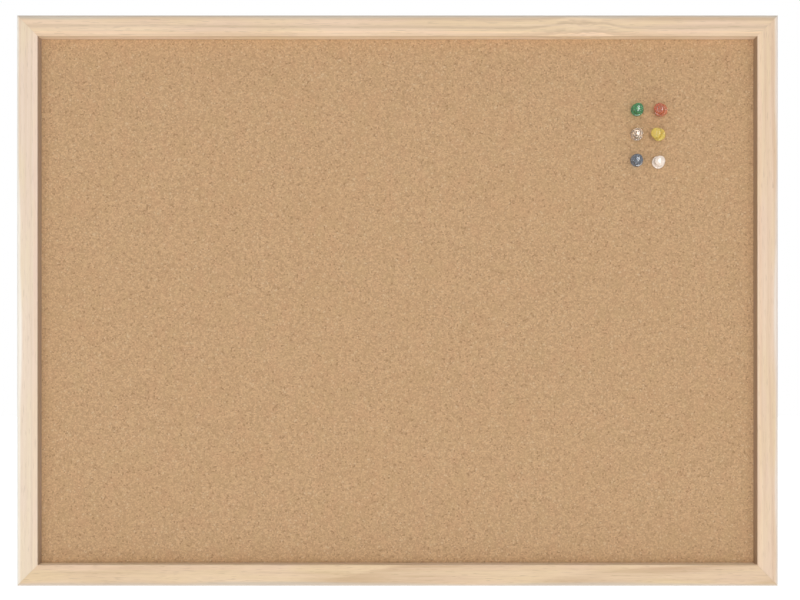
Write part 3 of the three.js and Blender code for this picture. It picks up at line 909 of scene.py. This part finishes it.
# Each plastic: the colour of its body, how far it is see-through, its stain and the stain's density.
PLASTICS = {
    "green": ((0.26, 0.68, 0.34), 0.80, (0.07, 0.71, 0.32), 270.0),
    "red": ((0.97, 0.48, 0.26), 0.76, (0.93, 0.20, 0.04), 250.0),
    "clear": ((1.00, 0.88, 0.74), 0.83, (0.92, 0.91, 0.88), 5.0),
    "yellow": ((1.00, 0.80, 0.18), 0.45, (1.00, 0.82, 0.08), 110.0),
    "blue": ((0.53, 0.57, 0.63), 0.80, (0.25, 0.38, 0.54), 230.0),
    "white": ((0.86, 0.73, 0.62), 0.0, (1.0, 1.0, 1.0), 0.0),
}
for pin in PINS:
    body = pin + "_pin"
    axis = PULLS[body]
    flange_seat = needle_tip(pin) + axis * NEEDLE_LENGTH
    lean = Vector((0, 0, 1)).rotation_difference(axis).to_matrix().to_4x4()
    along_pull = Matrix.Translation(flange_seat) @ lean

    head = turned(f"moulded_{body}_head", head_profile(), along_pull, sides=56)
    smooth(head.data, crease=40)
    coat(head, moulded_plastic(pin + " polystyrene", *PLASTICS[pin]))
    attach(head, body)
    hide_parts(body + "_head")

    tip = (0, -NEEDLE_LENGTH)
    swelling = (NEEDLE_RADIUS, -NEEDLE_LENGTH + POINT_SWELL * NEEDLE_POINT)
    full_width = (NEEDLE_RADIUS, NEEDLE_POINT - NEEDLE_LENGTH)
    shank = [tip] + bow(tip, swelling, full_width, 5)
    shank += [(NEEDLE_RADIUS, NEEDLE_SEAT), (0, NEEDLE_SEAT)]
    needle = turned(f"plated_{body}_needle", shank, along_pull, sides=20)
    smooth(needle.data)
    coat(needle, plated_steel)
    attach(needle, body)
    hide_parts(body + "_needle")


# Studio. A pale floor far below the board, which glows: faintly in front of the board, where its glow
# lights the board from below, and white behind it and far off. A white surround that is dim at the
# sides. A tall soft box stands behind the camera, a strip light below, above and on each side of the
# board, and one more box behind it.
FLOOR_DROP = 1.70
FLOOR_SIZE = 60.0
FLOOR_GLOW_FRONT = 0.24
FLOOR_GLOW_BEHIND = 0.75
FLOOR_GLOW_RISES_BEHIND = (0.3, 2.3)
FLOOR_GLOW_RISES_FAR_OFF = (5.0, 14.0)
FLOOR_PAINT = (0.85, 0.85, 0.85, 1.0)
WHITE = (1.0, 1.0, 1.0, 1.0)
floor_mesh = bpy.data.meshes.new("floor")
half = FLOOR_SIZE / 2
floor_level = OUTER_BOTTOM - FLOOR_DROP
corners = [(-half, -half), (half, -half), (half, half), (-half, half)]
floor_mesh.from_pydata([(x, y, floor_level) for x, y in corners], [], [(0, 1, 2, 3)])
floor = place_piece("floor", floor_mesh)
floor_finish, floor_tree, floor_surface = blank_finish("pale studio floor", roughness=0.9)
floor_surface.inputs["Base Color"].default_value = FLOOR_PAINT
floor_surface.inputs["Emission Color"].default_value = WHITE
floor_place = add_node(floor_tree, "ShaderNodeTexCoord").outputs["Object"]
floor_depth = add_node(floor_tree, "ShaderNodeSeparateXYZ", {0: floor_place}).outputs["Y"]
floor_reach = distance(floor_tree, floor_place)
# The floor's glow: faint in front, where it lights the board from below, and white behind and far off.
glow = (FLOOR_GLOW_FRONT, FLOOR_GLOW_BEHIND)
behind_glow = between(floor_tree, floor_depth, *FLOOR_GLOW_RISES_BEHIND, *glow)
far_glow = between(floor_tree, floor_reach, *FLOOR_GLOW_RISES_FAR_OFF, *glow)
floor_glow = calc(floor_tree, "MAXIMUM", behind_glow, far_glow)
floor_tree.links.new(floor_glow, floor_surface.inputs["Emission Strength"])
coat(floor, floor_finish)
floor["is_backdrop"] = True

SURROUND_LIGHT = 0.28
SURROUND_AT_SIDES = 0.05
SURROUND_ABOVE = 2.4
SURROUND_BEHIND = 2.3
SURROUND_SHINE = 0.85
SIDES_BEGIN = (0.2, 0.8)
ABOVE_BEGINS = (-0.1, 0.6)
BEHIND_BEGINS = (0.0, 0.5)
world = bpy.data.worlds.new("white surround")
bpy.context.scene.world = world
world.use_nodes = True
surround = world.node_tree
towards = add_node(surround, "ShaderNodeTexCoord").outputs["Generated"]
ways = add_node(surround, "ShaderNodeSeparateXYZ", {0: towards}).outputs
sideways = calc(surround, "ABSOLUTE", ways["X"])
dim_sides = between(surround, sideways, *SIDES_BEGIN, 1.0, SURROUND_AT_SIDES)
lit_above = between(surround, ways["Z"], *ABOVE_BEGINS, 1.0, SURROUND_ABOVE)
lit_behind = between(surround, ways["Y"], *BEHIND_BEGINS, 0.0, SURROUND_BEHIND)
in_front = calc(surround, "MULTIPLY", dim_sides, lit_above)
soft_light = calc(surround, "MULTIPLY", calc(surround, "MAXIMUM", in_front, lit_behind), SURROUND_LIGHT)
ray = add_node(surround, "ShaderNodeLightPath").outputs
falls_on_matt = {0: ray["Is Diffuse Ray"], 2: SURROUND_SHINE, 3: soft_light}
shine = add_node(surround, "ShaderNodeMix", falls_on_matt).outputs[0]
white = add_node(surround, "ShaderNodeMix", {0: ray["Is Camera Ray"], 2: shine, 3: 1.0}).outputs[0]
surround.links.new(white, surround.nodes["Background"].inputs["Strength"])
surround.nodes["Background"].inputs["Color"].default_value = WHITE


def soft_box(name, place, width, height, watts):
    """A soft light at a place from the board's centre, turned towards it and unseen by the camera."""
    lamp = bpy.data.lights.new(name, "AREA")
    lamp.shape = "RECTANGLE"
    lamp.size = width
    lamp.size_y = height
    lamp.energy = watts
    box = bpy.data.objects.new(name, lamp)
    box.visible_camera = False
    box.location = BOARD_CENTRE + Vector(place)
    box.rotation_euler = (-Vector(place)).to_track_quat("-Z", "Y").to_euler()
    bpy.context.scene.collection.objects.link(box)


soft_box("key_soft_box", (0.0, -6.0, 0.10), width=1.2, height=3.0, watts=103)
soft_box("low_strip_light", (0.0, -0.30, -1.75), width=0.6, height=0.3, watts=4.0)
soft_box("high_strip_light", (0.0, -0.30, 1.75), width=0.6, height=0.3, watts=2.0)
soft_box("left_strip_light", (-1.4, -2.3, -0.1), width=0.08, height=2.0, watts=4.5)
soft_box("right_strip_light", (1.4, -2.3, -0.1), width=0.08, height=2.0, watts=3.5)
soft_box("rear_soft_box", (0.9, 2.2, 1.4), width=1.0, height=0.6, watts=12)


# Camera. It looks square at the board from in front, a little below its centre, and its lens is shifted
# up, so that the board fills the picture as in the photo. A pixel is measured at the face of the frame.
PHOTO_WIDTH = 800
PHOTO_MIDDLE = (400.0, 300.0)
BOARD_AT_PIXEL = (397.5, 300.5)
PIXEL = 0.0007866
CAMERA_DISTANCE = 0.85
CAMERA_DROP = 0.04
SENSOR_WIDTH = 36.0
camera_data = bpy.data.cameras.new("camera")
camera = bpy.data.objects.new("camera", camera_data)
bpy.context.scene.collection.objects.link(camera)
camera_data.sensor_width = SENSOR_WIDTH
view_width = PHOTO_WIDTH * PIXEL
camera_data.lens = SENSOR_WIDTH * CAMERA_DISTANCE / view_width
camera_data.shift_y = CAMERA_DROP / view_width
camera.location = (
    BOARD_CENTRE.x + (PHOTO_MIDDLE[0] - BOARD_AT_PIXEL[0]) * PIXEL,
    FRAME_FRONT - CAMERA_DISTANCE,
    BOARD_CENTRE.z + (BOARD_AT_PIXEL[1] - PHOTO_MIDDLE[1]) * PIXEL - CAMERA_DROP,
)
camera.rotation_euler = (math.pi / 2, 0, 0)
bpy.context.scene.camera = camera
bpy.context.scene.view_settings.view_transform = "Standard"

low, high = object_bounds()
